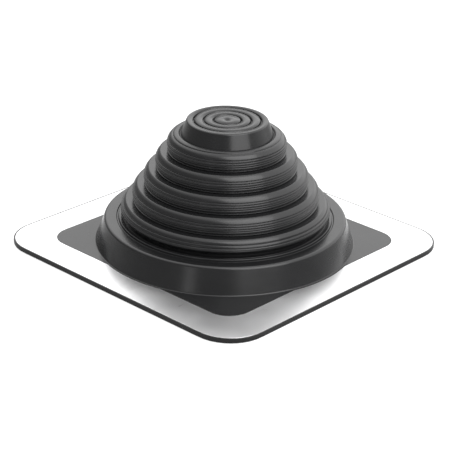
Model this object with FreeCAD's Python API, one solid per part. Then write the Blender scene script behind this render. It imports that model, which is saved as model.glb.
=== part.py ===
"""Pipe flashing boot: a stepped EPDM cone on a square base with an inlaid soft-aluminium sheet.

The boot is one moulding.  A closed cap stands on five stepped rings and a flared collar, and the
collar stands on a square base pad.  Each ring is as wide as one size of pipe: the roofer cuts the
cone at the neck above the ring that fits, pushes the boot down over the pipe and screws the base to
the roof.  The sheet lies in a pocket of the base pad and lets the base be dressed to a profiled roof.

Frame: origin at the centre of the underside, +Z up along the cone's axis, base sides along X and Y.
Units are millimetres.  The radii are worked out from the cap outwards and the heights from the base
upwards, so a change of one size moves all that lies beyond it.  Round stretches of the section are
laid as a few straight bands, which keeps the surface light.
"""
import FreeCAD, Part
import math
import os

# ---- base pad -------------------------------------------------------------------------------------
BASE_THICKNESS = 3.4        # rubber pad, up to the top face of the sheet
BASE_CORNER_R = 25.4        # outer corners, seen from above
BASE_CHAMFER = 1.0          # lower outer edge
FLANGE_WIDTH = 20.2         # from the collar's foot to the base's edge, at the middle of a side
PAD_CORNER_R = 15.0         # corners of the bare rubber pad inside the sheet
PAD_INSET = 2.15            # the pad's straight sides lie this far inside the collar's foot
PAD_BEYOND_FOOT = 1.2       # round ledge of the pad beyond the collar's foot

# ---- sealing groove in the underside --------------------------------------------------------------
SEAL_GROOVE_WIDTH = 4.0
SEAL_GROOVE_DEPTH = 0.8
SEAL_EDGE_LAND = 7.0        # from the base's edge to the groove

# ---- aluminium sheet ------------------------------------------------------------------------------
SHEET_THICKNESS = 1.0
SHEET_RIM = 0.8             # rubber rim left round the sheet
SHEET_CLEARANCE = 0.1       # round the sheet's two outlines; its underside is bonded face to face

# ---- cap ------------------------------------------------------------------------------------------
CAP_R = 25.1                # widest point of the cap's rounded rim
CAP_RIM_R = 1.3             # rounding of the rim
CAP_RIM_BANDS = 2
CAP_HEIGHT = 9.41           # cap top above the first ring's ledge
CAP_FLARE = 3.8             # the side is wider by this at its foot
CAP_TO_ROUND = 1.5          # from the foot out to the centre of the first ring's shoulder
CAP_GROOVES = 3             # V-shaped trim marks in the top
CAP_GROOVE_WIDTH = 1.1
CAP_GROOVE_DEPTH = 0.8
CAP_GROOVE_PITCH = 6.1
CAP_GROOVE_EDGE = 3.05      # from the last groove to where the rim's rounding starts
CAP_DIMPLE_R = 2.2
CAP_DIMPLE_DEPTH = 1.4

# ---- rings ----------------------------------------------------------------------------------------
RINGS = 5
SHOULDER_R = 6.8            # round shoulder of a ring, seen in section
SHOULDER_START = 60         # direction, in degrees, where the flat ledge meets the shoulder
SHOULDER_BANDS = 2          # from there down to the widest line
BAND_HEIGHT = 3.5           # band from the widest line down
BAND_TAPER = 0.6            # it is drawn in by this at its lower edge
NECK_HEIGHT = 1.36          # from there down to the next ring's ledge
NECK_INSET = 2.3            # the thin neck's foot lies this far inside the ring above it
NECK_TO_ROUND = 2.6         # from the neck out to the centre of the next shoulder
LAST_BAND_HEIGHT = 2.4      # the last ring's band is shorter,
LAST_BAND_TAPER = 1.35      # is drawn in further
LAST_NECK_HEIGHT = 2.6      # and stands higher above the collar's lip
NECK_GROOVE_WIDTH = 1.6     # V-shaped groove from the last neck out to the collar's lip
NECK_GROOVE_DEPTH = 1.0     # below the lip

# ---- collar ---------------------------------------------------------------------------------------
COLLAR_HEIGHT = 16.0        # from the base pad to the collar's flat top
COLLAR_LIP_WIDTH = 2.0
COLLAR_LIP_HEIGHT = 0.9     # lip above the collar's top
COLLAR_MARK_WIDTH = 1.3     # V-shaped groove between the lip and the top
COLLAR_MARK_DEPTH = 0.7
COLLAR_TOP_WIDTH = 5.6      # flat part of the top
COLLAR_EDGE_R = 1.9         # rounding of the upper edge
COLLAR_EDGE_BANDS = 2
COLLAR_FLARE = 5.7          # the side is wider by this at its foot
COLLAR_FILLET = 0.8         # bevel between the side and the pad

# ---- wall -----------------------------------------------------------------------------------------
WALL = 2.8                  # cap and collar
LEDGE_WALL = 1.9            # below the rings' ledges
NECK_WALL = 1.6             # at the necks, where the boot is cut

# ---- directions in the section, in degrees --------------------------------------------------------
OUTWARDS = 0
UPWARDS = 90


# ---- sizes worked out from these ------------------------------------------------------------------
shoulder_rise = SHOULDER_R * math.sin(math.radians(SHOULDER_START))
ring_r_step = NECK_TO_ROUND + SHOULDER_R - NECK_INSET
ring_z_step = shoulder_rise + BAND_HEIGHT + NECK_HEIGHT
cap_foot_r = CAP_R + CAP_FLARE
first_ring_r = cap_foot_r + CAP_TO_ROUND + SHOULDER_R
last_ring_r = first_ring_r + (RINGS - 1) * ring_r_step
collar_lip_r = last_ring_r - NECK_INSET + NECK_GROOVE_WIDTH
collar_mark_r = collar_lip_r + COLLAR_LIP_WIDTH + COLLAR_MARK_WIDTH
collar_edge_r = collar_mark_r + COLLAR_TOP_WIDTH + COLLAR_EDGE_R
collar_foot_r = collar_edge_r + COLLAR_FLARE
base_half = collar_foot_r + FLANGE_WIDTH
pad_half = collar_foot_r - PAD_INSET
pad_round_r = collar_foot_r + PAD_BEYOND_FOOT

seat_z = BASE_THICKNESS - SHEET_THICKNESS
collar_top_z = BASE_THICKNESS + COLLAR_HEIGHT
collar_lip_z = collar_top_z + COLLAR_LIP_HEIGHT
last_ledge_z = collar_lip_z + LAST_NECK_HEIGHT + LAST_BAND_HEIGHT + shoulder_rise
height = last_ledge_z + (RINGS - 1) * ring_z_step + CAP_HEIGHT


def ring_radius(index):
    """Widest radius of ring number index, counted from 0 at the top."""
    return first_ring_r + index * ring_r_step


def ledge_z(index):
    """Height of a ring's flat ledge, inside its round shoulder."""
    return last_ledge_z + (RINGS - 1 - index) * ring_z_step


def inner_radius(index):
    """Radius of the bore inside a ring: it leaves the thin neck wall below the ring."""
    return ring_radius(index) - NECK_INSET - NECK_WALL


# ---- profiles -------------------------------------------------------------------------------------
def polar(centre, radius, degrees):
    """Point on a circle in the (radius, height) plane."""
    turn = math.radians(degrees)
    return (centre[0] + radius * math.cos(turn), centre[1] + radius * math.sin(turn))


def tangent_angle(centre, radius, point):
    """Angle, in degrees, where the outer tangent from a lower point touches the circle."""
    across, down = point[0] - centre[0], point[1] - centre[1]
    return math.degrees(math.atan2(down, across) + math.acos(radius / math.hypot(across, down)))


class Profile:
    """A closed outline in the (radius, height) half-plane that is revolved about Z."""

    def __init__(self, start):
        self.points = [start]

    def line(self, *points):
        """Straight edges to each point in turn."""
        self.points += points

    def bend(self, centre, radius, first, last, bands):
        """Straight edges between evenly spaced points of a circle, from one angle to another."""
        for step in range(bands + 1):
            self.line(polar(centre, radius, first + (last - first) * step / bands))

    def revolve(self):
        """The solid of revolution of the closed outline."""
        corners = [FreeCAD.Vector(radius, 0, z) for radius, z in self.points + self.points[:1]]
        face = Part.Face(Part.makePolygon(corners))
        return face.revolve(FreeCAD.Vector(0, 0, 0), FreeCAD.Vector(0, 0, 1), 360)


# ---- outside of the cone --------------------------------------------------------------------------
def add_cap(profile):
    """Flat top with a dimple and trim marks, rounded rim and flared side."""
    profile.line((CAP_DIMPLE_R, height - CAP_DIMPLE_DEPTH), (CAP_DIMPLE_R, height))
    last_groove_r = CAP_R - CAP_RIM_R - CAP_GROOVE_EDGE
    for index in reversed(range(CAP_GROOVES)):
        middle_r = last_groove_r - index * CAP_GROOVE_PITCH
        profile.line((middle_r - CAP_GROOVE_WIDTH / 2, height), (middle_r, height - CAP_GROOVE_DEPTH),
                     (middle_r + CAP_GROOVE_WIDTH / 2, height))

    rim = (CAP_R - CAP_RIM_R, height - CAP_RIM_R)
    foot = (cap_foot_r, ledge_z(0))
    profile.bend(rim, CAP_RIM_R, UPWARDS, tangent_angle(rim, CAP_RIM_R, foot), CAP_RIM_BANDS)
    profile.line(foot)


def add_ring(profile, index):
    """Flat ledge, round shoulder and band, down to the foot of the neck below."""
    widest = ring_radius(index)
    centre = (widest - SHOULDER_R, ledge_z(index) - shoulder_rise)
    profile.bend(centre, SHOULDER_R, SHOULDER_START, OUTWARDS, SHOULDER_BANDS)

    neck_r = widest - NECK_INSET
    if index + 1 < RINGS:
        profile.line((widest - BAND_TAPER, centre[1] - BAND_HEIGHT), (neck_r, ledge_z(index + 1)))
    else:
        profile.line((widest - LAST_BAND_TAPER, centre[1] - LAST_BAND_HEIGHT),
                     (neck_r, collar_lip_z + LAST_NECK_HEIGHT / 2),
                     (neck_r, collar_lip_z - NECK_GROOVE_DEPTH))


def add_collar(profile):
    """Lip, groove, flat top, rounded edge and flared side with a fillet at its foot."""
    profile.line((collar_lip_r, collar_lip_z), (collar_lip_r + COLLAR_LIP_WIDTH, collar_lip_z),
                 (collar_mark_r - COLLAR_MARK_WIDTH / 2, collar_top_z - COLLAR_MARK_DEPTH),
                 (collar_mark_r, collar_top_z))

    edge = (collar_edge_r - COLLAR_EDGE_R, collar_top_z - COLLAR_EDGE_R)
    foot = (collar_foot_r, BASE_THICKNESS)
    side = tangent_angle(edge, COLLAR_EDGE_R, foot)
    profile.bend(edge, COLLAR_EDGE_R, UPWARDS, side, COLLAR_EDGE_BANDS)

    run = COLLAR_FILLET * math.tan(math.radians(side))
    profile.line((foot[0] - run, foot[1] + COLLAR_FILLET), (foot[0] + COLLAR_FILLET, foot[1]))


def cone_outside():
    """The whole cone as a solid, from the underside to the cap's top."""
    profile = Profile((0, height - CAP_DIMPLE_DEPTH))
    add_cap(profile)
    for index in range(RINGS):
        add_ring(profile, index)
    add_collar(profile)
    profile.line((profile.points[-1][0], 0), (0, 0))
    return profile.revolve()


# ---- inside of the cone ---------------------------------------------------------------------------
def cone_hollow():
    """The space inside: it follows the steps outside at the wall's thickness."""
    cap_slope = CAP_FLARE / (CAP_HEIGHT - CAP_RIM_R)
    ceiling = height - WALL
    inside_rim_r = CAP_R - WALL * math.hypot(1, cap_slope)
    inside_rim_z = height - CAP_RIM_R

    def cap_bore(z):
        return inside_rim_r + cap_slope * (inside_rim_z - z)

    step = ledge_z(0) - LEDGE_WALL
    profile = Profile((0, ceiling))
    profile.line((cap_bore(ceiling), ceiling), (cap_bore(step), step))
    for index in range(RINGS):
        profile.line((profile.points[-1][0], step), (inner_radius(index), step))
        step -= ring_z_step
    step = collar_top_z - COLLAR_MARK_DEPTH - WALL
    side_slope = COLLAR_FLARE / COLLAR_HEIGHT
    collar_bore_r = collar_edge_r - WALL * math.hypot(1, side_slope)
    profile.line((profile.points[-1][0], step), (collar_bore_r, step))
    profile.line((collar_bore_r + side_slope * step, 0), (0, 0))
    return profile.revolve()


# ---- base pad and sheet ---------------------------------------------------------------------------
def rounded_square(half, corner_r, bottom, top):
    """A square block, centred on the axis, with its upright edges rounded."""
    block = Part.makeBox(2 * half, 2 * half, top - bottom, FreeCAD.Vector(-half, -half, bottom))
    upright = [edge for edge in block.Edges if edge.tangentAt(0).cross(FreeCAD.Vector(0, 0, 1)).Length < 1e-6]
    return block.makeFillet(corner_r, upright)


def disc(radius, bottom, top):
    """A round block about the axis."""
    return Part.makeCylinder(radius, top - bottom, FreeCAD.Vector(0, 0, bottom))


def frame_block(outer_gap, inner_gap, bottom, top):
    """The sheet's outline, inside the rim and round the pad, with a gap along each outline."""
    outer = SHEET_RIM + outer_gap
    block = rounded_square(base_half - outer, BASE_CORNER_R - outer, bottom, top)
    pad = rounded_square(pad_half + inner_gap, PAD_CORNER_R + inner_gap, bottom, top)
    return block.cut(pad.fuse(disc(pad_round_r + inner_gap, bottom, top)))


def seal_groove():
    """The groove for sealant, which follows the base's outline in the underside."""
    outer = SEAL_EDGE_LAND
    inner = outer + SEAL_GROOVE_WIDTH
    ring = rounded_square(base_half - outer, BASE_CORNER_R - outer, 0, SEAL_GROOVE_DEPTH)
    return ring.cut(rounded_square(base_half - inner, BASE_CORNER_R - inner, 0, SEAL_GROOVE_DEPTH))


def base_pad():
    """The square pad with its chamfered lower edge, the sheet's pocket and the sealing groove."""
    pad = rounded_square(base_half, BASE_CORNER_R, 0, BASE_THICKNESS)
    lower = [edge for edge in pad.Edges if edge.BoundBox.ZMax < BASE_THICKNESS / 2]
    pad = pad.makeChamfer(BASE_CHAMFER, lower)
    return pad.cut(frame_block(0, 0, seat_z, BASE_THICKNESS)).cut(seal_groove())


# ---- the two pieces -------------------------------------------------------------------------------
def rubber_boot():
    """The moulding: base pad and cone in one, and hollow."""
    boot = base_pad().fuse(cone_outside()).removeSplitter()
    return boot.cut(cone_hollow())


def flange_sheet():
    """The flat aluminium sheet, clear of the rubber along its outlines and bonded below."""
    return frame_block(SHEET_CLEARANCE, SHEET_CLEARANCE, seat_z, BASE_THICKNESS)


def main():
    """Write one STEP file for each piece."""
    os.makedirs("parts", exist_ok=True)
    for name, shape in (("rubber_boot", rubber_boot()), ("flange_sheet", flange_sheet())):
        solid, = shape.Solids
        solid.exportStep("parts/%s.step" % name)
        print("%s: valid %s, %.2f cm3" % (name, solid.isValid(), solid.Volume / 1000))
    print("base %.1f mm square, %.1f mm high, pipe bores %s mm" % (
        2 * base_half, height, ", ".join("%.1f" % (2 * inner_radius(ring)) for ring in range(RINGS))))


main()
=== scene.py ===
"""Looks of a pipe flashing boot: a stepped black rubber cone on a square base with an inlaid sheet.

The moulding is one surface.  Its section is a chain of straight runs and round corners from the
middle of the cap down the outside, across the base, back under it and up the inside, and every
point of that section is carried once round the axis.  On the cone each turn is a circle, on the pad
it follows the pad's outline and at the rim the square base's.  The sheet is a second such surface.

Lengths are in millimetres up to the mesh builders, which write metres.
"""
from __future__ import annotations

import logging
import math
from dataclasses import dataclass, field

import bpy
import numpy as np
from mathutils import Matrix, Vector

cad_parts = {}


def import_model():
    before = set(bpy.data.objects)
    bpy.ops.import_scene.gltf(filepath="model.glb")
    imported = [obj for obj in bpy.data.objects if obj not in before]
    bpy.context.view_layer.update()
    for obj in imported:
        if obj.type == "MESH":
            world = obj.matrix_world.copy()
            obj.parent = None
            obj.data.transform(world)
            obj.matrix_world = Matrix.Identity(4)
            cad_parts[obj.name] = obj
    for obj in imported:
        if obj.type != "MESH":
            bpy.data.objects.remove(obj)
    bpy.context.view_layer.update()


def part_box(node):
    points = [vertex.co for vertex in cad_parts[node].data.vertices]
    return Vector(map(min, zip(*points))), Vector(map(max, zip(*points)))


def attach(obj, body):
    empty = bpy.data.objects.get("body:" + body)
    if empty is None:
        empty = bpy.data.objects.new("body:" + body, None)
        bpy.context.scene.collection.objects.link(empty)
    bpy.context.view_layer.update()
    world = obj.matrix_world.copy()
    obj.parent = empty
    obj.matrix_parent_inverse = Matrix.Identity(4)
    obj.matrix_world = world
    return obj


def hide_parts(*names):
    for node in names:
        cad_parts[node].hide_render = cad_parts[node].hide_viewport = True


LOG = logging.getLogger("flashing_boot")
MM = 0.001
TINY = 1e-6
Socket = bpy.types.NodeSocket


# ---- sections -------------------------------------------------------------------------------------
class Corner(tuple):
    """A corner of a section: across, height and the radius that rounds it, in millimetres."""

    def __new__(cls, across: float, height: float, radius: float = 0.0) -> "Corner":
        """Makes the corner.

        Args:
            across: distance from the axis, or from the outline that the section follows.
            height: height above the underside.
            radius: rounding of the corner.
        """
        return super().__new__(cls, (across, height, radius))


@dataclass(frozen=True)
class Mark:
    """A fine groove cut into a section, square to its surface."""

    across: float
    height: float
    half_width: float
    depth: float


def unit(vectors: np.ndarray) -> np.ndarray:
    """Vectors of length one along the rows of an array."""
    return vectors / np.linalg.norm(vectors, axis=-1, keepdims=True)


def soften(corners: list[Corner], step: float, support: float) -> tuple[np.ndarray, np.ndarray]:
    """A chain of straight runs whose corners are rounded.

    At a corner that turns by phi, the circle of radius r touches both runs at r * tan(phi / 2) from
    the corner.  Its centre lies on the bisector at r / cos(phi / 2), and a point a share x along the
    round is the mix sin((1 - x) phi) * first + sin(x phi) * last, divided by sin(phi), of the two
    directions from the centre to the touching points.  One more point stands on each run close to
    the round, so that the flat beside it keeps its own shading.

    Args:
        corners: the corners in order, the first and the last of them without a radius.
        step: most that the section turns between two points, in radians.
        support: distance from a round to the extra point beside it.

    Returns:
        The points, as rows of across and height, and the length along the section at each.
    """
    table = np.array(corners)
    point, radius = table[:, :2], table[:, 2]
    run = np.diff(point, axis=0)
    length = np.linalg.norm(run, axis=1)
    ahead, back = unit(run)[1:], -unit(run)[:-1]
    turn = np.pi - np.arccos(np.clip((ahead * back).sum(axis=1), -1, 1))
    reach = np.concatenate(([0.0], radius[1:-1] * np.tan(turn / 2), [0.0]))
    straight = length - reach[:-1] - reach[1:]
    if straight.min() < -TINY:
        raise ValueError("rounds overlap on run %d" % int(straight.argmin()))
    begin = np.cumsum(straight)[:-1] + np.concatenate(([0.0], np.cumsum(radius[1:-1] * turn)[:-1]))

    parts = np.ceil(turn / step).astype(int)
    count = parts + 3
    which = np.repeat(np.arange(len(count)), count)
    place = np.arange(count.sum()) - np.repeat(np.cumsum(count) - count, count)
    share = np.clip((place - 1) / parts[which], 0, 1)

    bisector = unit(ahead + back)
    centre = point[1:-1] + bisector * (radius[1:-1] / np.cos(turn / 2))[:, None]
    first = back * np.tan(turn / 2)[:, None] - bisector / np.cos(turn / 2)[:, None]
    last = ahead * np.tan(turn / 2)[:, None] - bisector / np.cos(turn / 2)[:, None]
    phi = turn[which]
    mix = (np.sin((1 - share) * phi)[:, None] * first[which]
           + np.sin(share * phi)[:, None] * last[which]) / np.sin(phi)[:, None]
    made = centre[which] + radius[1:-1][which][:, None] * mix
    along = begin[which] + share * (radius[1:-1] * turn)[which]

    before = np.minimum(support, straight[:-1] / 3)[which] * (place == 0)
    after = np.minimum(support, straight[1:] / 3)[which] * (place == count[which] - 1)
    made = made + back[which] * before[:, None] + ahead[which] * after[:, None]
    along = along - before + after

    total = straight.sum() + (radius[1:-1] * turn).sum()
    points = np.concatenate((point[:1], made, point[-1:]))
    return points, np.concatenate(([0.0], along, [total]))


@dataclass(frozen=True)
class Section:
    """A section made of rounded corners, with fine marks cut into it."""

    corners: list[Corner]
    marks: tuple[Mark, ...] = ()
    step: float = math.radians(16)
    support: float = 0.12
    closest: float = 0.012
    fine_step: float = math.radians(2)
    mark_shares: tuple[float, ...] = (-1.0, -0.62, -0.3, 0.0, 0.3, 0.62, 1.0)
    cleared: float = 0.98

    def stations(self) -> np.ndarray:
        """The section's points, with the marks cut in.

        A mark is the trough depth * (1 + cos(pi * x / half_width)) / 2, where x is the distance from
        its middle along the section.  It has a station at each of mark_shares of its half width, and
        each is moved by the trough against the outward normal.

        Returns:
            Rows of across and height.
        """
        coarse, along = soften(self.corners, self.step, self.support)
        if not self.marks:
            return coarse
        close, length = soften(self.corners, self.fine_step, self.support)
        measure = np.arange(0, length[-1], self.closest)
        fine = np.stack([np.interp(measure, length, close[:, side]) for side in (0, 1)], axis=1)
        table = np.array([(mark.across, mark.height, mark.half_width, mark.depth) for mark in self.marks])
        gap = np.linalg.norm(fine[None] - table[:, None, :2], axis=2)
        middle = measure[gap.argmin(axis=1)]
        cuts = (middle[:, None] + table[:, 2:3] * np.array(self.mark_shares)).ravel()
        inside = (np.abs(along[:, None] - middle) < table[:, 2] * self.cleared).any(axis=1)
        inside[[0, -1]] = False
        cuts = cuts[(cuts > self.closest) & (cuts < along[-1])]
        along = np.sort(np.concatenate((along[~inside], cuts)))
        along = along[np.concatenate(([True], np.diff(along) > self.closest))]

        def at(distance: np.ndarray) -> np.ndarray:
            """Points at these lengths along the section."""
            return np.stack([np.interp(distance, measure, fine[:, side]) for side in (0, 1)], axis=1)

        tangent = unit(at(along + self.closest) - at(along - self.closest))
        outward = np.stack((-tangent[:, 1], tangent[:, 0]), axis=1)
        offset = np.abs(along[:, None] - middle) / table[:, 2]
        trough = np.where(offset < 1, table[:, 3] * (1 + np.cos(np.pi * offset)) / 2, 0).sum(axis=1)
        return at(along) - outward * trough[:, None]


# ---- plan outlines --------------------------------------------------------------------------------
@dataclass(frozen=True)
class RoundedSquare:
    """A square centred on the axis whose corners are rounded."""

    half: float
    corner: float

    def radius(self, turn: np.ndarray, inset: np.ndarray) -> np.ndarray:
        """Distance from the axis to the outline, moved inwards by an inset.

        Within an eighth of a turn the side is half / cos(t).  Past the corner's start, with c the
        place of its centre on both axes, the distance is c (cos t + sin t) plus the root of
        corner^2 - c^2 (cos t - sin t)^2.

        Args:
            turn: directions round the axis, in radians.
            inset: how far the outline lies inside the full one.

        Returns:
            One distance for each inset and direction that the two arrays span together.
        """
        folded = np.abs((turn + np.pi / 4) % (np.pi / 2) - np.pi / 4)
        along, beside = np.cos(folded), np.sin(folded)
        half, corner = self.half - inset, self.corner - inset
        centre = half - corner
        side = half / along
        rest = np.maximum(corner ** 2 - (centre * (along - beside)) ** 2, 0)
        bend = centre * (along + beside) + np.sqrt(rest)
        return np.where(side * beside <= centre, side, bend)


@dataclass(frozen=True)
class PadOutline:
    """The bare pad: a rounded square joined with a round ledge."""

    square: RoundedSquare
    ledge: float

    def radius(self, turn: np.ndarray, inset: np.ndarray) -> np.ndarray:
        """Distance from the axis: the larger of the square's and the ledge's, less the inset."""
        return np.maximum(self.square.radius(turn, inset), self.ledge - inset)

    def corner_turn(self) -> float:
        """Direction, within an eighth of a turn, where the ledge meets the square's side."""
        return math.acos(self.square.half / self.ledge)


@dataclass(frozen=True)
class Turning:
    """The directions in which a section is carried round the axis."""

    count: int = 120
    crowding: float = 0.5
    keep_off: float = 0.3
    extra: tuple[float, ...] = ()

    def directions(self) -> np.ndarray:
        """Angles that crowd together at the base's four corners.

        An even share t of the turn becomes t + crowding / 4 * sin(4 t), which is densest on the
        diagonals.  The extra angles, and their mirror images in each quarter, are put in between,
        in place of any that stand closer to them than the share keep_off of an even step.
        """
        even = np.arange(self.count) / self.count * 2 * np.pi
        crowded = even + self.crowding / 4 * np.sin(4 * even)
        if not self.extra:
            return crowded
        quarter = np.arange(4) * np.pi / 2
        wanted = np.array(self.extra)
        wanted = np.concatenate((wanted, -wanted))[:, None] + quarter
        wanted = wanted.ravel() % (2 * np.pi)
        near = np.abs(crowded[:, None] - wanted).min(axis=1) < self.keep_off * 2 * np.pi / self.count
        return np.sort(np.concatenate((crowded[~near], wanted)))


# ---- meshes ---------------------------------------------------------------------------------------
def grid_faces(rows: int, columns: int) -> np.ndarray:
    """Quads of a grid that closes on itself across its columns.

    Args:
        rows: number of stations.
        columns: number of directions.

    Returns:
        Four vertex indices for each quad, in the order that faces outwards.
    """
    row, column = np.meshgrid(np.arange(rows - 1), np.arange(columns), indexing="ij")
    onward = (column + 1) % columns
    quads = (row * columns + column, (row + 1) * columns + column,
             (row + 1) * columns + onward, row * columns + onward)
    return np.stack(quads, axis=-1).reshape(-1, 4)


def make_mesh(name: str, points: np.ndarray, faces: list[np.ndarray]) -> bpy.types.Object:
    """A smooth mesh object at the origin.

    Args:
        name: the object's and the mesh's name.
        points: vertices in millimetres.
        faces: arrays of vertex indices, each array with one number of corners.

    Returns:
        The object, linked to the scene.
    """
    mesh = bpy.data.meshes.new(name)
    loops = np.concatenate([block.ravel() for block in faces])
    sides = np.concatenate([np.full(len(block), block.shape[1]) for block in faces])
    starts = np.cumsum(sides) - sides
    mesh.vertices.add(len(points))
    mesh.vertices.foreach_set("co", (points * MM).astype(np.float32).ravel())
    mesh.loops.add(len(loops))
    mesh.loops.foreach_set("vertex_index", loops.astype(np.int32))
    mesh.polygons.add(len(sides))
    mesh.polygons.foreach_set("loop_start", starts.astype(np.int32))
    mesh.polygons.foreach_set("use_smooth", np.ones(len(sides), dtype=bool))
    mesh.update(calc_edges=True)
    mesh.validate()
    piece = bpy.data.objects.new(name, mesh)
    bpy.context.scene.collection.objects.link(piece)
    return piece


def carry_round(radii: np.ndarray, heights: np.ndarray, turn: np.ndarray) -> np.ndarray:
    """Points of a section carried round the axis.

    Args:
        radii: distance from the axis for each station and direction.
        heights: height of each station, or of each station and direction.
        turn: the directions.

    Returns:
        Rows of x, y and z: radius * cos(turn), radius * sin(turn) and the height.
    """
    heights = np.broadcast_to(heights if heights.ndim == 2 else heights[:, None], radii.shape)
    stack = (radii * np.cos(turn), radii * np.sin(turn), heights)
    return np.stack(stack, axis=-1).reshape(-1, 3)


# ---- node trees -----------------------------------------------------------------------------------
class Wiring:
    """Shorthand for building a node tree."""

    def __init__(self, tree: bpy.types.NodeTree) -> None:
        """Takes an empty tree."""
        self.tree = tree
        tree.nodes.clear()

    def add(self, kind: str, inputs: dict | None = None, **settings: object) -> bpy.types.Node:
        """Adds a node.

        Args:
            kind: the node's type without its ShaderNode prefix.
            inputs: socket names or numbers with a value, or with an output socket to link from.
            settings: attributes of the node.

        Returns:
            The node.
        """
        node = self.tree.nodes.new("ShaderNode" + kind)
        for name, value in settings.items():
            setattr(node, name, value)
        for key, value in (inputs or {}).items():
            socket = node.inputs[key]
            if isinstance(value, Socket):
                self.tree.links.new(value, socket)
            else:
                socket.default_value = value
        return node

    def math(self, operation: str, *values: object) -> Socket:
        """A Math node's result for numbers or sockets."""
        return self.add("Math", dict(enumerate(values)), operation=operation).outputs[0]

    def blend(self, first: Socket, second: Socket, share: float) -> Socket:
        """The mix share * first + (1 - share) * second."""
        return self.math("ADD", self.math("MULTIPLY", first, share), self.math("MULTIPLY", second, 1 - share))

    def scaled(self, vector: Socket, factors: tuple[float, float, float]) -> Socket:
        """A vector times a constant vector."""
        return self.add("VectorMath", {0: vector, 1: factors}, operation="MULTIPLY").outputs[0]

    def noise(self, vector: Socket, size: float, detail: float = 2.0) -> Socket:
        """A noise texture's value at a vector, for grains of a size in millimetres."""
        return self.add("TexNoise", {"Vector": vector, "Scale": 1 / (size * MM), "Detail": detail}).outputs[0]

    def bump(self, height: Socket, depth: float, under: dict | None = None) -> Socket:
        """A normal bent by a height that spans a depth in millimetres, over another normal if given."""
        inputs = {"Height": height, "Distance": depth * MM, "Strength": 1.0, **(under or {})}
        return self.add("Bump", inputs).outputs[0]

    def spread(self, value: Socket, low: float, high: float) -> Socket:
        """A value from 0.3 to 0.7, as noise gives, laid over low to high."""
        inputs = {"Value": value, "From Min": 0.3, "From Max": 0.7, "To Min": low, "To Max": high}
        return self.add("MapRange", inputs).outputs[0]


class Finish:
    """A procedural finish that a piece wears."""

    name: str

    def wire(self, wiring: Wiring) -> Socket:
        """Builds the nodes and returns the shader."""
        raise NotImplementedError

    def material(self) -> bpy.types.Material:
        """The finish as a material, made once."""
        found = bpy.data.materials.get(self.name)
        if found:
            return found
        made = bpy.data.materials.new(self.name)
        made.use_nodes = True
        wiring = Wiring(made.node_tree)
        wiring.add("OutputMaterial", {"Surface": self.wire(wiring)})
        return made

    def dress(self, piece: bpy.types.Object) -> None:
        """Gives the finish to a piece."""
        piece.data.materials.clear()
        piece.data.materials.append(self.material())


@dataclass(frozen=True)
class MouldedRubber(Finish):
    """Black EPDM from a turned mould: satin, with fine lines round the axis and a faint grain."""

    name: str = "moulded_epdm"
    colour: tuple[float, float, float, float] = (0.0095, 0.0096, 0.0101, 1.0)
    roughness: tuple[float, float] = (0.20, 0.28)
    index: float = 1.5
    line_pitch: float = 0.45
    line_depth: float = 0.006
    line_drift: float = 0.02
    grain_size: float = 0.35
    grain_depth: float = 0.004
    cloud_size: float = 14.0
    cloud_share: float = 0.6

    def wire(self, wiring: Wiring) -> Socket:
        """Builds the rubber's nodes.

        The lines are noise over (radius, height), which changes quickly across the section and only
        slowly round the axis, because small shares of x and y are added to the two.
        """
        place = wiring.add("TexCoord").outputs["Object"]
        axes = wiring.add("SeparateXYZ", {0: place}).outputs
        flat = wiring.add("CombineXYZ", {0: axes[0], 1: axes[1]}).outputs[0]
        radius = wiring.add("VectorMath", {0: flat}, operation="LENGTH").outputs["Value"]
        section = wiring.add("CombineXYZ", {0: radius, 1: axes[2]}).outputs[0]
        drift = wiring.scaled(place, (self.line_drift, self.line_drift, 0.0))
        lined = wiring.add("VectorMath", {0: section, 1: drift}, operation="ADD").outputs[0]
        lines = wiring.noise(lined, self.line_pitch)
        grain = wiring.noise(place, self.grain_size, 3.0)
        clouds = wiring.noise(place, self.cloud_size, 3.0)

        cut = wiring.bump(lines, self.line_depth)
        skin = wiring.bump(grain, self.grain_depth, {"Normal": cut})
        roughness = wiring.spread(wiring.blend(clouds, lines, self.cloud_share), *self.roughness)
        inputs = {"Base Color": self.colour, "Roughness": roughness, "IOR": self.index, "Normal": skin}
        return wiring.add("BsdfPrincipled", inputs).outputs[0]


@dataclass(frozen=True)
class RolledAluminium(Finish):
    """Soft mill-finish sheet with faint rolling lines along X and a slightly clouded sheen."""

    name: str = "rolled_aluminium"
    colour: tuple[float, float, float, float] = (0.87, 0.87, 0.875, 1.0)
    roughness: tuple[float, float] = (0.27, 0.35)
    line_pitch: float = 0.5
    line_depth: float = 0.0004
    line_draw: float = 0.012
    cloud_size: float = 18.0
    cloud_share: float = 0.5

    def wire(self, wiring: Wiring) -> Socket:
        """Builds the sheet's nodes: noise drawn out along X for the rolling lines, plus clouds."""
        place = wiring.add("TexCoord").outputs["Object"]
        drawn = wiring.scaled(place, (self.line_draw, 1.0, 1.0))
        lines = wiring.noise(drawn, self.line_pitch, 4.0)
        clouds = wiring.noise(place, self.cloud_size, 3.0)
        cut = wiring.bump(lines, self.line_depth)
        roughness = wiring.spread(wiring.blend(clouds, lines, self.cloud_share), *self.roughness)
        inputs = {"Base Color": self.colour, "Metallic": 1.0, "Roughness": roughness, "Normal": cut}
        return wiring.add("BsdfPrincipled", inputs).outputs[0]


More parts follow.
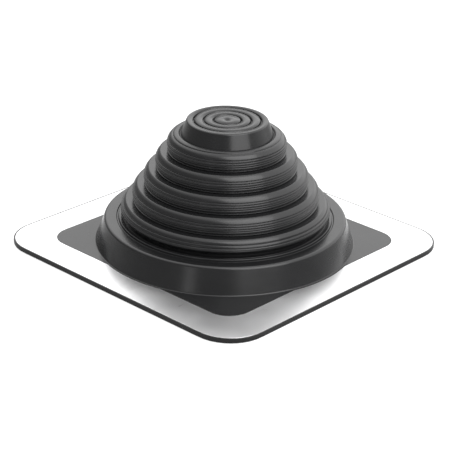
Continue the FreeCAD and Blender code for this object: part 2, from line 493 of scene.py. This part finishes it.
@dataclass(frozen=True)
class PaleFloor(Finish):
    """A pale floor that the camera sees lifted towards white, with the object's shadow kept."""

    name: str = "pale_floor"
    colour: tuple[float, float, float, float] = (0.38, 0.38, 0.38, 1.0)
    lift: float = 0.8

    def wire(self, wiring: Wiring) -> Socket:
        """Builds the floor's nodes: a plain matt floor, plus a lift for what the camera sees."""
        matt = wiring.add("BsdfDiffuse", {"Color": self.colour}).outputs[0]
        seen = wiring.add("LightPath").outputs["Is Camera Ray"]
        lift = wiring.add("Emission", {"Strength": wiring.math("MULTIPLY", seen, self.lift)})
        return wiring.add("AddShader", {0: matt, 1: lift.outputs[0]}).outputs[0]


# ---- the moulding ---------------------------------------------------------------------------------
@dataclass
class Boot:
    """The rubber moulding: cap, five rings, collar, base pad and the hollow inside."""

    base_half: float
    height: float
    base_thickness: float = 3.4
    base_corner: float = 25.4
    flange_width: float = 20.2
    pad_inset: float = 2.15
    pad_corner: float = 15.0
    pad_beyond_foot: float = 1.2
    rim: float = 0.8
    rim_rounds: tuple[float, float] = (0.15, 0.3)
    seat_depth: float = 1.0
    pad_round: float = 0.2
    under_round: float = 1.0
    seal_land: float = 7.0
    seal_width: float = 4.0
    seal_depth: float = 0.8
    seal_rounds: tuple[float, float] = (0.15, 0.2)
    run_in: float = 6.0
    run_out: float = 2.0

    cap_height: float = 9.41
    cap_flare: float = 3.8
    cap_rim: float = 1.3
    cap_to_round: float = 1.5
    crease: float = 0.2
    crease_rounds: tuple[float, float] = (0.1, 0.15)
    cap_grooves: int = 3
    cap_groove_half: float = 0.9
    cap_groove_depth: float = 2.0
    cap_groove_pitch: float = 6.1
    cap_groove_edge: float = 3.05
    dimple_half: float = 2.4
    dimple_depth: float = 1.4

    rings: int = 5
    shoulder: float = 6.8
    ledge_turn: float = math.radians(60)
    crest_start: float = 0.3
    crest_round: float = 0.5
    tight_turn: float = math.radians(56)
    tight_round: float = 1.0
    knife_turn: float = math.radians(63)
    band_height: float = 3.5
    band_taper: float = 0.6
    band_edge: float = 0.25
    band_bend: float = 0.15
    band_bend_round: float = 2.0
    band_marks: tuple[float, ...] = (2.6, 0.95, -0.75, -2.2)
    band_mark_half: float = 0.46
    band_mark_depth: float = 0.40
    knife_groove: float = 1.1
    knife_groove_round: float = 0.15
    knife_lip: tuple[float, float] = (0.62, 0.2)
    knife_lip_inset: float = 0.4
    knife_lip_round: float = 0.18
    knife_neck: float = 1.1
    knife_neck_round: float = 0.05
    neck_height: float = 1.36
    neck_inset: float = 2.3
    neck_to_round: float = 2.6
    last_band_height: float = 2.4
    last_band_taper: float = 1.35
    last_band_bend: float = 0.45
    last_band_round: float = 0.4
    last_neck_height: float = 2.6
    last_neck_rounds: tuple[float, float] = (0.15, 0.3)
    last_band_marks: tuple[float, ...] = (3.2, 1.05)
    neck_groove: float = 1.6
    neck_depth: float = 1.0

    collar_height: float = 16.0
    collar_lip: float = 2.0
    collar_lip_height: float = 0.9
    collar_lip_round: float = 0.4
    collar_groove: float = 1.3
    collar_groove_depth: float = 0.7
    collar_groove_round: float = 0.25
    collar_groove_mouth: float = 0.3
    collar_groove_slopes: tuple[float, float, float] = (0.3, 0.2, 0.2)
    collar_top: float = 5.6
    collar_edge: float = 1.9
    collar_flare: float = 5.7
    collar_fillet: float = 0.8

    wall: float = 2.8
    ledge_wall: float = 1.9
    neck_wall: float = 1.6
    ceiling_round: float = 0.8
    step_rounds: tuple[float, float] = (0.6, 0.4)
    turning: Turning = field(default_factory=Turning)

    def __post_init__(self) -> None:
        """Works the section's places out from the base inwards and upwards."""
        self.foot_r = self.base_half - self.flange_width
        self.edge_r = self.foot_r - self.collar_flare
        self.lip_r = self.edge_r - self.collar_edge - self.collar_top - self.collar_groove - self.collar_lip
        self.collar_z = self.base_thickness + self.collar_height
        self.lip_z = self.collar_z + self.collar_lip_height

        rise = self.shoulder * math.sin(self.ledge_turn)
        across = self.neck_to_round + self.shoulder - self.neck_inset
        down = rise + self.band_height + self.neck_height
        last_r = self.lip_r - self.neck_groove + self.neck_inset
        top = self.height - self.cap_height
        self.widest = [last_r - across * (self.rings - 1 - index) for index in range(self.rings)]
        self.ledges = [top - down * index for index in range(self.rings)]
        self.centres = [(wide - self.shoulder, ledge - rise) for wide, ledge in zip(self.widest, self.ledges)]
        self.cap_foot = self.centres[0][0] - self.cap_to_round
        self.cap_r = self.cap_foot - self.cap_flare
        self.pad = PadOutline(RoundedSquare(self.foot_r - self.pad_inset, self.pad_corner),
                              self.foot_r + self.pad_beyond_foot)
        self.square = RoundedSquare(self.base_half, self.base_corner)
        LOG.info("rings %.1f to %.1f mm in radius, ledges at %.2f to %.2f mm",
                 self.widest[0], self.widest[-1], self.ledges[0], self.ledges[-1])

    def on_shoulder(self, index: int, turn: float) -> tuple[float, float]:
        """Place on a ring's round shoulder: its centre plus shoulder * (cos, sin) of a direction."""
        across, height = self.centres[index]
        return across + self.shoulder * math.cos(turn), height + self.shoulder * math.sin(turn)

    def cut_line(self, widest: float, below: float) -> list[Corner]:
        """The place for the knife: a fine groove, a thin lip and the neck, down to the next ledge.

        Args:
            widest: widest radius of the band above.
            below: height of the next ring's ledge.

        Returns:
            The corners from the bottom of the groove to the foot of the neck.
        """
        upper, lower = self.knife_lip
        return [
            Corner(widest - self.knife_groove, below + (upper + self.neck_height) / 2,
                   self.knife_groove_round),
            Corner(widest - self.knife_lip_inset, below + upper, self.knife_lip_round),
            Corner(widest - self.knife_lip_inset, below + lower, self.knife_lip_round),
            Corner(widest - self.knife_neck, below + lower, self.knife_neck_round),
        ]

    def shoulder_corners(self, index: int) -> list[Corner]:
        """A ring's top: a flat ledge, then a tight round that runs into the wide one.

        The first ring has a raised crest at the cap's foot in place of the ledge.  On the others
        the two rounds touch at tight_turn.  The tangent there meets the widest line at the wide
        round's corner, and tight_round * tan(half the turn) behind the touching point stands the
        tight round's.

        Args:
            index: number of the ring, counted from 0 at the top.

        Returns:
            The corners from the foot of the neck to the wide round.
        """
        if index == 0:
            across, middle_z = self.centres[0]
            crest = middle_z + self.shoulder
            return [Corner(self.cap_foot + self.crease, self.ledges[0] - self.crease, self.crease_rounds[1]),
                    Corner(across - self.crest_start, crest, self.crest_round),
                    Corner(self.widest[0], crest, self.shoulder)]
        touch = self.on_shoulder(index, self.tight_turn)
        slope = (math.sin(self.tight_turn), -math.cos(self.tight_turn))
        ahead = (self.widest[index] - touch[0]) / slope[0]
        behind = self.tight_round * math.tan((math.pi / 2 - self.tight_turn) / 2)
        peak = (touch[0] - behind * slope[0], touch[1] - behind * slope[1])
        neck = self.widest[index - 1] - self.knife_neck
        return [Corner(neck, peak[1], self.knife_neck_round), Corner(*peak, self.tight_round),
                Corner(self.widest[index], touch[1] + ahead * slope[1], self.shoulder)]

    def ring_corners(self, index: int) -> list[Corner]:
        """One ring: the shoulder, the band and the cut line below it.

        Args:
            index: number of the ring, counted from 0 at the top.

        Returns:
            Its corners, from the foot of the neck above to the foot of the neck below.
        """
        widest, middle_z = self.widest[index], self.centres[index][1]
        start = self.shoulder_corners(index)
        if index + 1 < self.rings:
            return start + [
                Corner(widest, middle_z - self.band_bend * self.band_height, self.band_bend_round),
                Corner(widest - self.band_taper, middle_z - self.band_height, self.band_edge),
                *self.cut_line(widest, self.ledges[index + 1]),
            ]
        band, neck = self.last_band_height, widest - self.neck_inset
        return start + [
            Corner(widest, middle_z - self.last_band_bend * band, self.last_band_round * band),
            Corner(widest - self.last_band_taper, middle_z - band, self.band_edge),
            Corner(neck, self.lip_z + self.last_neck_height / 2, self.last_neck_rounds[0]),
            Corner(neck, self.lip_z - self.neck_depth, self.last_neck_rounds[1]),
        ]

    def collar_corners(self) -> list[Corner]:
        """The collar's lip, groove, flat top, rounded edge, side and fillet."""
        groove = self.lip_r + self.collar_lip
        floor = self.collar_z - self.collar_groove_depth
        near, middle, far = self.collar_groove_slopes
        return [
            Corner(self.lip_r, self.lip_z - self.neck_depth, self.last_neck_rounds[1]),
            Corner(self.lip_r, self.lip_z, self.collar_lip_round),
            Corner(groove, self.lip_z, self.collar_lip_round),
            Corner(groove + near, floor, self.collar_groove_round),
            Corner(groove + self.collar_groove - middle, floor, self.collar_groove_round),
            Corner(groove + self.collar_groove + far, self.collar_z, self.collar_groove_mouth),
            Corner(self.edge_r, self.collar_z, self.collar_edge),
            Corner(self.foot_r, self.base_thickness, self.collar_fillet),
            Corner(self.foot_r + self.collar_fillet, self.base_thickness),
        ]

    def marks(self) -> tuple[Mark, ...]:
        """The cap's trim grooves and dimple, the first ring's knife mark and the bands' fine grooves."""
        outermost = self.cap_r - self.cap_rim - self.cap_groove_edge
        marks = [Mark(outermost - index * self.cap_groove_pitch, self.height, self.cap_groove_half,
                      self.cap_groove_depth) for index in range(self.cap_grooves)]
        marks.append(Mark(0.0, self.height, self.dimple_half, self.dimple_depth))
        marks.append(Mark(*self.on_shoulder(0, self.knife_turn), self.band_mark_half, self.band_mark_depth))
        for index, (widest, (_, middle_z)) in enumerate(zip(self.widest, self.centres)):
            heights = self.band_marks if index + 1 < self.rings else self.last_band_marks
            for height in heights:
                turn = math.asin(max(height, 0.0) / self.shoulder)
                across = self.on_shoulder(index, turn)[0] if height > 0 else widest
                marks.append(Mark(across, middle_z + height, self.band_mark_half, self.band_mark_depth))
        return tuple(marks)

    def outside(self) -> np.ndarray:
        """Stations of the cone's outside, from the middle of the cap to the collar's foot."""
        corners = [Corner(0.0, self.height), Corner(self.cap_r, self.height, self.cap_rim),
                   Corner(self.cap_foot, self.ledges[0] - self.crease, self.crease_rounds[0])]
        for index in range(self.rings):
            corners += self.ring_corners(index)
        corners += self.collar_corners()
        return Section(corners, self.marks()).stations()

    def inside(self) -> np.ndarray:
        """Stations of the hollow, from the underside up to the middle of the cap."""
        slope = self.cap_flare / (self.cap_height - self.cap_rim)
        rim_r = self.cap_r - self.wall * math.hypot(1, slope)
        rim_z = self.height - self.cap_rim
        ceiling = self.height - self.wall
        steps = [ledge - self.ledge_wall for ledge in self.ledges]
        steps.append(self.collar_z - self.collar_groove_depth - self.wall)
        above, under = self.step_rounds
        corners = [Corner(0.0, ceiling),
                   Corner(rim_r + slope * (rim_z - ceiling), ceiling, self.ceiling_round),
                   Corner(rim_r + slope * (rim_z - steps[0]), steps[0], under)]
        for widest, step, below in zip(self.widest, steps, steps[1:]):
            bore = widest - self.neck_inset - self.neck_wall
            corners += [Corner(bore, step, above), Corner(bore, below, under)]
        side = self.collar_flare / self.collar_height
        wide = self.edge_r - self.wall * math.hypot(1, side)
        corners += [Corner(wide, steps[-1], self.ceiling_round), Corner(wide + side * steps[-1], 0.0)]
        return Section(corners, step=math.radians(30)).stations()[::-1]

    def pad_edge(self) -> np.ndarray:
        """Stations of the bare pad's edge, from its top down to the sheet's seat."""
        top = self.base_thickness
        return Section([Corner(self.run_in, top), Corner(0.0, top, self.pad_round),
                        Corner(0.0, top - self.seat_depth)]).stations()

    def base_edge(self) -> np.ndarray:
        """Stations from the sheet's seat over the rim, down the side and past the sealing groove."""
        top, groove_end = self.base_thickness, self.seal_land + self.seal_width
        inner, outer = self.rim_rounds
        mouth, bottom = self.seal_rounds
        return Section([
            Corner(self.rim, top - self.seat_depth),
            Corner(self.rim, top, inner),
            Corner(0.0, top, outer),
            Corner(0.0, 0.0, self.under_round),
            Corner(self.seal_land, 0.0, mouth),
            Corner(self.seal_land, self.seal_depth, bottom),
            Corner(groove_end, self.seal_depth, bottom),
            Corner(groove_end, 0.0, mouth),
            Corner(groove_end + self.run_out, 0.0),
        ]).stations()

    def build(self) -> bpy.types.Object:
        """Carries the whole section round the axis and closes both poles.

        Returns:
            The moulding.
        """
        turn = self.turning.directions()
        outside = self.outside()[1:]
        inside = self.inside()[:-1]
        pad, edge = self.pad_edge()[1:], self.base_edge()
        rows = [
            (np.broadcast_to(outside[:, :1], (len(outside), len(turn))), outside[:, 1]),
            (self.pad.radius(turn, pad[:, :1]), pad[:, 1]),
            (self.square.radius(turn, edge[:, :1]), edge[:, 1]),
            (np.broadcast_to(inside[:, :1], (len(inside), len(turn))), inside[:, 1]),
        ]
        radii = np.concatenate([row[0] for row in rows])
        heights = np.concatenate([row[1] for row in rows])
        points = carry_round(radii, heights, turn)
        poles = np.array([[0, 0, self.height - self.dimple_depth], [0, 0, self.height - self.wall]])
        count, around = len(points), np.arange(len(turn))
        onward = (around + 1) % len(turn)
        last = count - len(turn)
        caps = [np.stack((np.full(len(turn), count), around, onward), axis=1),
                np.stack((np.full(len(turn), count + 1), last + onward, last + around), axis=1)]
        faces = [grid_faces(len(radii), len(turn)), *caps]
        piece = make_mesh("boot_moulding", np.concatenate((points, poles)), faces)
        MouldedRubber().dress(piece)
        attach(piece, "root")
        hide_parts("rubber_boot")
        LOG.info("%s: %d stations, %d directions", piece.name, len(radii), len(turn))
        return piece


# ---- the sheet ------------------------------------------------------------------------------------
@dataclass
class FlangeSheet:
    """The aluminium sheet that lies in the base's pocket."""

    boot: Boot
    clearance: float = 0.1
    edge: float = 0.18
    run_in: float = 1.0
    rows_between: int = 7
    margin: float = 0.03
    waviness: float = 0.03
    wave_lengths: tuple[float, float, float] = (17.0, 29.0, 21.0)
    wave_phase: float = 1.3

    def build(self) -> bpy.types.Object:
        """Carries the sheet's section round its two outlines.

        The radius of a station is the mix (1 - share) * inner + share * outer of the two outlines.
        The soft sheet isn't quite flat: its top lies lower by waviness * (2 + first + second) / 4,
        where the first and second are slow sine waves along its two sides.

        Returns:
            The sheet.
        """
        turn = self.boot.turning.directions()
        top = self.boot.base_thickness
        seat = top - self.boot.seat_depth
        gap = np.array([[self.clearance]])
        inner = self.boot.pad.radius(turn, -gap)
        outer = self.boot.square.radius(turn, self.boot.rim + gap)
        rise = Section([Corner(0.0, seat), Corner(0.0, top, self.edge), Corner(self.run_in, top)]).stations()
        across, height = rise[:-1, :1], rise[:-1, 1]
        middle = np.linspace(0, 1, self.rows_between + 2)[1:-1, None]
        width = outer - inner
        near, far = inner + across, outer - across[::-1]
        between = inner + width * (self.margin + (1 - 2 * self.margin) * middle)
        radii = np.concatenate((near, between, far, inner))
        heights = np.concatenate((height, np.full(len(between), top), height[::-1], [seat]))
        points = carry_round(radii, heights, turn)
        along, bend, beside = self.wave_lengths
        first = np.sin(points[:, 0] / along + np.sin(points[:, 1] / bend))
        second = np.sin(points[:, 1] / beside + self.wave_phase)
        points[:, 2] -= np.where(points[:, 2] > top - TINY, self.waviness * (2 + (first + second)) / 4, 0)
        piece = make_mesh("flange_sheet_rolled", points, [grid_faces(len(radii), len(turn))])
        RolledAluminium().dress(piece)
        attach(piece, "root")
        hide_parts("flange_sheet")
        LOG.info("%s: %d stations", piece.name, len(radii))
        return piece


# ---- studio ---------------------------------------------------------------------------------------
def direction(azimuth: float, elevation: float) -> Vector:
    """A direction from the object, in degrees: azimuth 0 is -Y and 90 is +X."""
    turn, rise = math.radians(azimuth), math.radians(elevation)
    return Vector((math.sin(turn) * math.cos(rise), -math.cos(turn) * math.cos(rise), math.sin(rise)))


@dataclass(frozen=True)
class SoftBox:
    """A rectangular studio lamp that faces the object, at an azimuth from the camera's."""

    name: str
    azimuth: float
    elevation: float
    distance: float
    width: float
    height: float
    power: float

    def build(self, camera_azimuth: float) -> None:
        """Adds the lamp for a camera at an azimuth."""
        lamp = bpy.data.lights.new(self.name, "AREA")
        lamp.shape = "RECTANGLE"
        lamp.size, lamp.size_y = self.width, self.height
        lamp.energy = self.power
        holder = bpy.data.objects.new(self.name, lamp)
        way = direction(camera_azimuth + self.azimuth, self.elevation)
        holder.location = way * self.distance
        holder.rotation_euler = way.to_track_quat("Z", "Y").to_euler()
        bpy.context.scene.collection.objects.link(holder)


@dataclass
class Studio:
    """Camera, floor, world and lamps: a broad box right of the camera and a slim one left of it."""

    azimuth: float = -46.98
    elevation: float = 24.63
    distance: float = 1.0191
    aim_height: float = 0.0123
    roll: float = 1.355
    lens: float = 129.07
    sensor: float = 36.0
    floor_half: float = 12.0
    floor_gap: float = 0.0002
    dim: float = 0.35
    bright: float = 1.8
    bright_azimuth: float = 140.0
    bright_elevation: float = 60.0
    bright_fade: tuple[float, float] = (0.28, 0.68)
    boxes: tuple[SoftBox, ...] = (
        SoftBox("broad_box", 35, 43, 1.4, 1.2, 1.5, 14.8),
        SoftBox("slim_box", -29, 9, 1.4, 0.16, 0.3, 0.3),
    )

    def floor(self) -> None:
        """A wide flat floor just under the base."""
        half, low = self.floor_half, -self.floor_gap
        mesh = bpy.data.meshes.new("floor")
        corners = [(-half, -half, low), (half, -half, low), (half, half, low), (-half, half, low)]
        mesh.from_pydata(corners, [], [(0, 1, 2, 3)])
        piece = bpy.data.objects.new("floor", mesh)
        bpy.context.scene.collection.objects.link(piece)
        PaleFloor().dress(piece)

    def world(self) -> None:
        """A white backdrop whose light is bright behind and above the object and dim at its front left.

        With c the cosine of the angle to the bright middle, the strength runs smoothly from dim to
        bright while c runs over bright_fade.  The camera itself sees plain white.
        """
        world = bpy.data.worlds.new("studio")
        world.use_nodes = True
        wiring = Wiring(world.node_tree)
        way = wiring.add("TexCoord").outputs["Generated"]
        middle = direction(self.azimuth + self.bright_azimuth, self.bright_elevation)
        facing = wiring.add("VectorMath", {0: way, 1: tuple(middle)}, operation="DOT_PRODUCT")
        inputs = {"Value": facing.outputs["Value"], "From Min": self.bright_fade[0],
                  "From Max": self.bright_fade[1], "To Min": self.dim, "To Max": self.bright}
        glow = wiring.add("MapRange", inputs, interpolation_type="SMOOTHSTEP").outputs[0]
        seen = wiring.add("LightPath").outputs["Is Camera Ray"]
        strength = wiring.add("Mix", {0: seen, 2: glow, 3: 1.0}, data_type="FLOAT").outputs[0]
        sky = wiring.add("Background", {"Color": (1, 1, 1, 1), "Strength": strength}).outputs[0]
        wiring.add("OutputWorld", {"Surface": sky})
        bpy.context.scene.world = world

    def camera(self) -> None:
        """The camera, level but for a slight roll."""
        data = bpy.data.cameras.new("camera")
        data.lens, data.sensor_width = self.lens, self.sensor
        data.clip_start, data.clip_end = 0.01, 100
        back = direction(self.azimuth, self.elevation)
        holder = bpy.data.objects.new("camera", data)
        holder.rotation_mode = "QUATERNION"
        roll = Matrix.Rotation(math.radians(self.roll), 3, "Z").to_quaternion()
        holder.rotation_quaternion = back.to_track_quat("Z", "Y") @ roll
        holder.location = Vector((0, 0, self.aim_height)) + back * self.distance
        bpy.context.scene.collection.objects.link(holder)
        bpy.context.scene.camera = holder

    def build(self) -> None:
        """Adds all of the studio."""
        self.camera()
        self.floor()
        self.world()
        for box in self.boxes:
            box.build(self.azimuth)
        bpy.context.scene.view_settings.view_transform = "Standard"


def main() -> None:
    """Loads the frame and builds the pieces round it."""
    logging.basicConfig(level=logging.INFO, format="%(name)s: %(message)s")
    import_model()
    low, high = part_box("rubber_boot")
    boot = Boot(base_half=(high[0] - low[0]) / 2 / MM, height=high[2] / MM)
    boot.turning = Turning(extra=(boot.pad.corner_turn(),))
    boot.build()
    FlangeSheet(boot).build()
    Studio().build()


if __name__ == "__main__":
    main()
